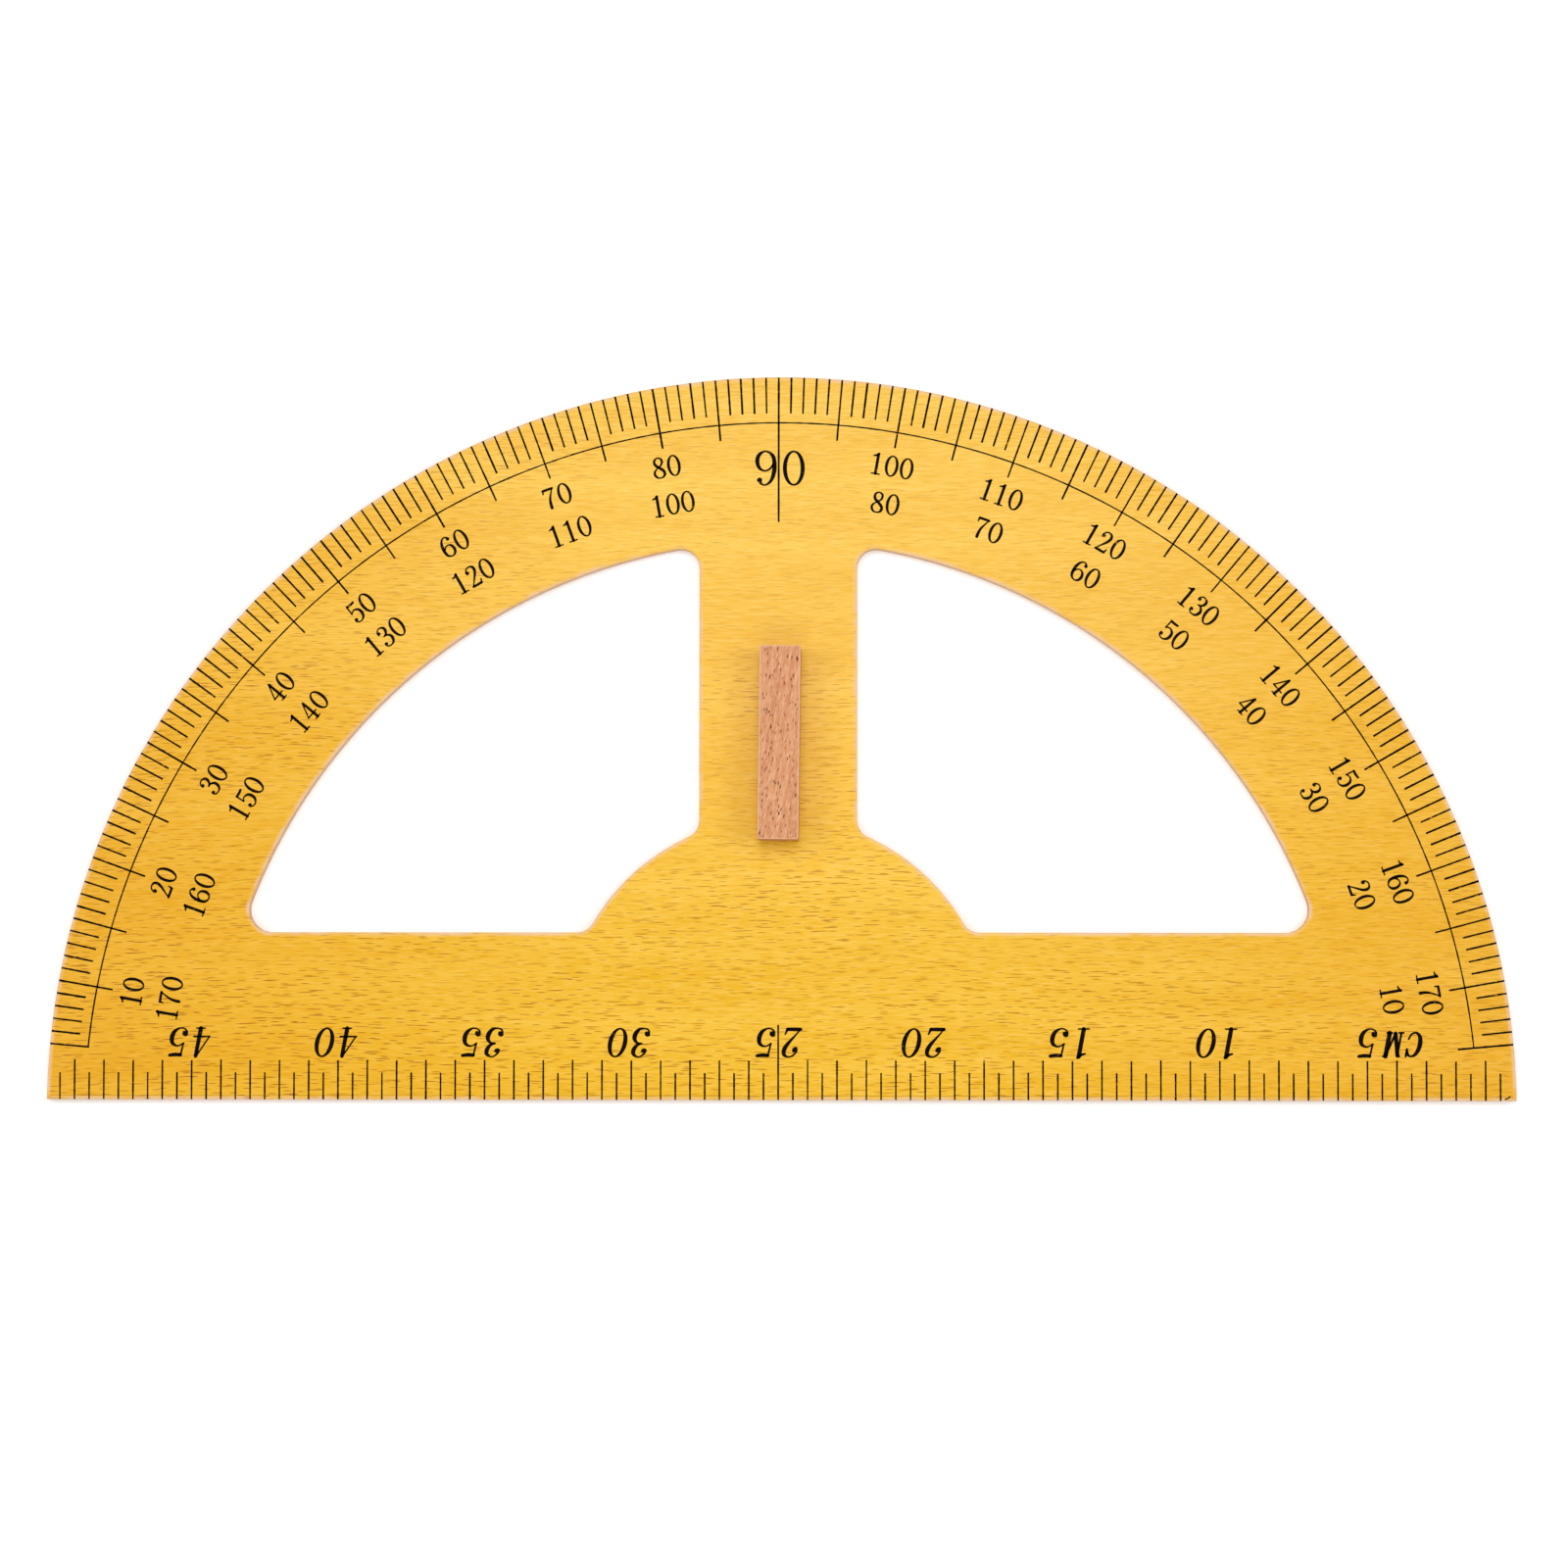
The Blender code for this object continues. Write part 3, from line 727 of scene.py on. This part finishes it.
NUMERALS = {
    "0": [(CLOSED, BOWL)],
    "1": [(OPEN, [(-0.19, 0.86, 0.0), (-0.06, 0.90, 0.5), (0.035, 0.98, 0.6)]),
          (OPEN, [(0.01, 0.955, 1.0), (0.01, 0.03, 1.0)]),
          (OPEN, [(-0.17, 0.025, 0.0), (0.19, 0.025, 0.0)])],
    "2": [(OPEN, [(-0.19, 0.745, 1.9), (-0.225, 0.80, 0.3), (-0.14, 0.93, 0.1), (0.0, 0.975, 0.1),
                  (0.15, 0.91, 0.7), (0.19, 0.76, 1.0), (0.13, 0.58, 0.8), (-0.02, 0.36, 0.3),
                  (-0.15, 0.18, 0.0), (-0.225, 0.05, 0.0)]),
          (OPEN, [(-0.24, 0.045, 0.7), (0.0, 0.045, 0.8), (0.20, 0.045, 0.7)]),
          (OPEN, [(0.20, 0.04, 0.5), (0.25, 0.21, 0.0)])],
    "3": [(OPEN, [(-0.175, 0.79, 1.7), (-0.19, 0.86, 0.3), (-0.09, 0.96, 0.0), (0.03, 0.97, 0.1),
                  (0.165, 0.88, 0.8), (0.18, 0.73, 1.0), (0.09, 0.58, 0.5), (-0.06, 0.53, 0.0)]),
          (OPEN, [(-0.06, 0.53, 0.0), (0.10, 0.51, 0.3), (0.22, 0.38, 0.9), (0.225, 0.22, 1.1),
                  (0.13, 0.06, 0.6), (-0.02, 0.02, 0.0), (-0.16, 0.05, 0.1), (-0.215, 0.13, 0.3),
                  (-0.19, 0.19, 1.7)])],
    "4": [(OPEN, [(0.09, 0.96, 0.8), (0.09, 0.03, 1.0)]),
          (OPEN, [(0.07, 0.97, 0.0), (-0.25, 0.31, 0.0)]),
          (OPEN, [(-0.27, 0.305, 0.1), (0.27, 0.305, 0.1)]),
          (OPEN, [(-0.05, 0.025, 0.0), (0.23, 0.025, 0.0)])],
    "5": [(OPEN, [(-0.16, 0.925, 0.7), (0.02, 0.915, 0.8), (0.20, 0.935, 0.6)]),
          (OPEN, [(-0.165, 0.95, 0.1), (-0.185, 0.53, 0.1)]),
          (OPEN, [(-0.19, 0.52, 0.0), (-0.08, 0.60, 0.0), (0.04, 0.615, 0.2), (0.19, 0.52, 0.8),
                  (0.24, 0.33, 1.1), (0.19, 0.14, 0.8), (0.04, 0.025, 0.1), (-0.12, 0.035, 0.0),
                  (-0.215, 0.12, 0.3), (-0.19, 0.185, 1.8)])],
    "6": [(OPEN, SIX)],
    "7": [(OPEN, [(-0.22, 0.925, 0.8), (0.0, 0.93, 0.8), (0.24, 0.93, 0.7)]),
          (OPEN, [(-0.225, 0.95, 0.1), (-0.245, 0.78, 0.1)]),
          (OPEN, [(0.235, 0.93, 0.0), (0.12, 0.73, 0.1), (0.0, 0.48, 0.6), (-0.05, 0.25, 1.0),
                  (-0.06, 0.05, 1.2)])],
    "8": [(CLOSED, [(0.0, 0.975, 0.0), (0.15, 0.90, 0.5), (0.18, 0.75, 0.6), (0.09, 0.60, 0.2),
                    (-0.10, 0.47, 0.0), (-0.22, 0.34, 0.5), (-0.23, 0.19, 0.8), (-0.13, 0.06, 0.4),
                    (0.0, 0.025, 0.0), (0.14, 0.06, 0.4), (0.23, 0.18, 0.9), (0.20, 0.33, 1.0),
                    (0.05, 0.48, 1.0), (-0.11, 0.61, 1.0), (-0.18, 0.75, 0.8),
                    (-0.14, 0.90, 0.5)])],
    "9": [(OPEN, [(-x, 1 - y, weight) for x, y, weight in SIX])],
    "C": [(OPEN, [(0.23, 0.71, 0.0), (0.16, 0.90, 0.3), (0.03, 0.975, 0.0), (-0.13, 0.90, 0.6),
                  (-0.23, 0.68, 1.0), (-0.25, 0.45, 1.1), (-0.20, 0.20, 0.9), (-0.08, 0.05, 0.3),
                  (0.05, 0.025, 0.0), (0.17, 0.10, 0.0), (0.24, 0.27, 0.0)]),
          (OPEN, [(0.235, 0.97, 0.1), (0.235, 0.69, 0.2)])],
    "M": [(OPEN, [(-0.24, 0.03, 0.1), (-0.24, 0.97, 0.1)]),
          (OPEN, [(-0.25, 0.95, 0.9), (-0.01, 0.05, 0.9)]),
          (OPEN, [(-0.01, 0.05, 0.1), (0.23, 0.96, 0.1)]),
          (OPEN, [(0.23, 0.97, 1.1), (0.23, 0.03, 1.1)]),
          (OPEN, [(-0.33, 0.025, 0.0), (-0.15, 0.025, 0.0)]),
          (OPEN, [(-0.33, 0.975, 0.0), (-0.22, 0.975, 0.0)]),
          (OPEN, [(0.13, 0.025, 0.0), (0.33, 0.025, 0.0)]),
          (OPEN, [(0.22, 0.975, 0.0), (0.33, 0.975, 0.0)])],
}
LIGHT_WEIGHT = (0.070, 0.140)               # hairline and stem, as shares of the height
DEGREE_HEIGHT = 7.3 * MM
DEGREE_SPACING = 0.71                       # from one numeral to the next, in heights
OUTER_ROW_RADIUS = 224.8 * MM
INNER_ROW_RADIUS = 211.8 * MM
NUMBER_SHIFT = np.array((0.1, 0.4)) * MM    # the numbers sit this far off their ticks
RIGHT_ANGLE_HEIGHT = 12.2 * MM
RIGHT_ANGLE_SPACING = 0.79
RIGHT_ANGLE_WEIGHT = (0.05, 0.118)
RIGHT_ANGLE_CENTRE = (-0.15 * MM, EDGE + 215.9 * MM)


def smooth_path(points, closed):
    """Catmull-Rom through the points: each span is a cubic of its four nearest points."""
    p = np.asarray(points, float)
    if len(p) == 2:
        return p
    q = np.concatenate([p[-1:], p, p[:2]]) if closed \
        else np.concatenate([2 * p[:1] - p[1:2], p, 2 * p[-1:] - p[-2:-1]])
    t = np.linspace(0, 1, 6, endpoint=False)[:, None, None]
    a, b, c, d = q[:-3], q[1:-2], q[2:-1], q[3:]
    spans = b + 0.5 * t * ((c - a) + t * ((2 * a - 5 * b + 4 * c - d)
                                          + t * (3 * b - a - 3 * c + d)))
    path = spans.transpose(1, 0, 2).reshape(-1, 3)
    return path if closed else np.concatenate([path, p[-1:]])


def round_ended(stations):
    """Half-round ends: stations at width/2 * sin(a) past the end are width * cos(a) wide."""
    ends = []
    for end, inner in ((stations[0], stations[1]), (stations[-1], stations[-2])):
        out = (end[:2] - inner[:2]) / np.linalg.norm(end[:2] - inner[:2])
        a = np.radians((25, 50, 72))[:, None]
        ends.append(np.c_[end[:2] + out * end[2] / 2 * np.sin(a), end[2] * np.cos(a)])
    return np.concatenate([ends[0][::-1], stations, ends[1]])


def lettering(text, centre, height, spacing, weights, turn=0.0, slant=0.0):
    """Ribbons for a short line of numerals, centred on a point and turned by an angle."""
    ribbons = []
    c, s = math.cos(turn), math.sin(turn)
    for i, sign in enumerate(text):
        shift = (i - (len(text) - 1) / 2) * spacing
        for closed, stroke in NUMERALS[sign]:
            path = smooth_path(stroke, closed)
            path[:, 2] = weights[0] + (weights[1] - weights[0]) * np.maximum(path[:, 2], 0)
            if not closed:
                path = round_ended(path)
            x = (path[:, 0] + shift + slant * (path[:, 1] - 0.5)) * height
            y = (path[:, 1] - 0.5) * height
            stations = np.c_[centre[0] + c * x - s * y, centre[1] + s * x + c * y,
                             path[:, 2] * height, np.zeros(len(path))]
            ribbons.append((stations, closed))
    return ribbons


def number_row(radius, reads):
    """A row of numbers every 10 degrees, heads outwards. reads(angle) gives each one's number."""
    ribbons = []
    for degree in [d for d in range(10, 180, 10) if d != 90]:
        angle = math.radians(degree)
        place = ray_point(angle, radius) + NUMBER_SHIFT
        ribbons += lettering(str(reads(degree)), place, DEGREE_HEIGHT, DEGREE_SPACING,
                             LIGHT_WEIGHT, turn=angle - math.pi / 2)
    return ribbons


ribbon_piece("degree_numbers_from_left", number_row(OUTER_ROW_RADIUS, lambda d: 180 - d), ink)
ribbon_piece("degree_numbers_from_right", number_row(INNER_ROW_RADIUS, lambda d: d), ink)
ribbon_piece("right_angle_number", lettering("90", RIGHT_ANGLE_CENTRE, RIGHT_ANGLE_HEIGHT,
                                             RIGHT_ANGLE_SPACING, RIGHT_ANGLE_WEIGHT), ink)

# ---------------------------------------------------------------------------------------------
# Centimetre scale. A tick every half centimetre along the straight edge, counted from the right
# and printed the other way up, with bold slanting numerals every 5 cm and the unit beside the 5.
# ---------------------------------------------------------------------------------------------
CM = 10 * MM
SCALE_MIDDLE = -0.5 * MM                    # x of the 25 cm tick: the print sits a little left
CM_TICK = 13.6 * MM
HALF_CM_TICK = 9.3 * MM
MIDDLE_TICK = 25.7 * MM
CM_TICK_WIDTH = 0.57 * MM
BOLD_WEIGHT = (0.056, 0.15)
UNIT_WEIGHT = (0.085, 0.18)
CM_NUMBER_HEIGHT = 10.1 * MM
CM_NUMBER_MIDDLE = EDGE + 19.5 * MM
CM_NUMBER_SPACING = 0.77
MIDDLE_NUMBER_GAP = 0.09                    # extra room between 2 and 5 for the tick at 25
CM_NUMBER_LEAD = 0.8 * MM                   # a two-figure number sits this far past its tick
SLANT = 0.19
UNIT_HEIGHT = 8.4 * MM
UNIT_MIDDLE = EDGE + 19.1 * MM
UNIT_PLACES = (("M", 4.12), ("C", 3.43))     # letter and where it stands, in cm
NICK = [(246.0, 0.5), (247.0, 0.9), (247.8, 1.6)]  # a stray touch of ink by the zero corner, mm
NICK_WIDTH = 0.6 * MM


def scale_x(centimetres):
    return SCALE_MIDDLE + (25 - centimetres) * CM


def cm_tick(half_centimetres):
    """One tick, from its inner end out over the straight edge."""
    x = scale_x(half_centimetres / 2)
    length = HALF_CM_TICK if half_centimetres % 2 else CM_TICK
    length = MIDDLE_TICK if half_centimetres == 50 else length
    width = CM_TICK_WIDTH * print_run.uniform(0.9, 1.1)
    end = (x, EDGE + length * print_run.uniform(0.985, 1.01))
    return inked_line(end, lambda inset: (x, EDGE + inset), width), False


ribbon_piece("centimetre_ticks", [cm_tick(i) for i in range(1, 100)], ink)

centimetre_numbers = lettering("5", (scale_x(5), CM_NUMBER_MIDDLE), CM_NUMBER_HEIGHT,
                               CM_NUMBER_SPACING, BOLD_WEIGHT, turn=math.pi, slant=SLANT)
for number in range(10, 50, 5):
    spacing = CM_NUMBER_SPACING + (MIDDLE_NUMBER_GAP if number == 25 else 0)
    lead = 0 if number == 25 else CM_NUMBER_LEAD
    centimetre_numbers += lettering(str(number), (scale_x(number) - lead, CM_NUMBER_MIDDLE),
                                    CM_NUMBER_HEIGHT, spacing, BOLD_WEIGHT, math.pi, SLANT)
ribbon_piece("centimetre_numbers", centimetre_numbers, ink)

unit_letters = []
for letter, place in UNIT_PLACES:
    unit_letters += lettering(letter, (scale_x(place), UNIT_MIDDLE), UNIT_HEIGHT, 1.0,
                              UNIT_WEIGHT, math.pi, SLANT)
ribbon_piece("unit_letters", unit_letters, ink)

nick = [(x * MM, EDGE + y * MM, NICK_WIDTH, 0.0) for x, y in NICK]
ribbon_piece("stray_ink", [(nick, False)], ink)

# ---------------------------------------------------------------------------------------------
# Stage: a plain white paper floor that glows a little, as paper lit from behind does, soft
# studio light and the camera, almost straight above.
# ---------------------------------------------------------------------------------------------
FLOOR_REACH = 4
CAMERA_PLACE = (0.02775, -0.08655, FACE + 1.5)
CAMERA_TURN = (2.6955, 1.0041, 0.0469)      # degrees about X, Y and Z, from straight down
FOCAL_LENGTH = 101.07

floor_mesh = bpy.data.meshes.new("floor")
floor_corners = [(x * FLOOR_REACH, y * FLOOR_REACH, 0)
                 for x, y in ((-1, -1), (1, -1), (1, 1), (-1, 1))]
floor_mesh.from_pydata(floor_corners, [], [(0, 1, 2, 3)])
floor = bpy.data.objects.new("floor", floor_mesh)
bpy.context.scene.collection.objects.link(floor)
floor_paper, tree, shader = new_material("white_studio_paper")
shader.inputs["Base Color"].default_value = linear("fafafa")
shader.inputs["Roughness"].default_value = 0.9
shader.inputs["Emission Color"].default_value = linear("ffffff")
shader.inputs["Emission Strength"].default_value = 0.12
floor_mesh.materials.append(floor_paper)


def soft_light(name, place, aim, size, watts):
    """A square softbox at one point, turned towards another."""
    lamp = bpy.data.lights.new(name, "AREA")
    lamp.shape = "SQUARE"
    lamp.size = size
    lamp.energy = watts
    made = bpy.data.objects.new(name, lamp)
    made.location = place
    made.rotation_euler = (Vector(place) - Vector(aim)).to_track_quat("Z", "Y").to_euler()
    bpy.context.scene.collection.objects.link(made)


soft_light("rear_softbox", (0.0, 0.42, 1.9), (0.0, 0.05, 0.0), 0.7, 11)
soft_light("front_softbox", (0.0, -0.9, 1.7), (0.0, 0.0, 0.0), 0.8, 5.5)
soft_light("left_softbox", (-1.0, 0.1, 1.7), (0.0, 0.0, 0.0), 0.8, 8)
soft_light("right_softbox", (1.0, 0.1, 1.7), (0.0, 0.0, 0.0), 0.8, 8.5)

world = bpy.data.worlds.new("studio")
world.use_nodes = True
world.node_tree.nodes["Background"].inputs["Color"].default_value = linear("ffffff")
world.node_tree.nodes["Background"].inputs["Strength"].default_value = 0.35
bpy.context.scene.world = world
bpy.context.scene.view_settings.view_transform = "Standard"

lens = bpy.data.cameras.new("camera")
lens.lens = FOCAL_LENGTH
camera = bpy.data.objects.new("camera", lens)
camera.location = CAMERA_PLACE
camera.rotation_euler = np.radians(CAMERA_TURN)
bpy.context.scene.collection.objects.link(camera)
bpy.context.scene.camera = camera
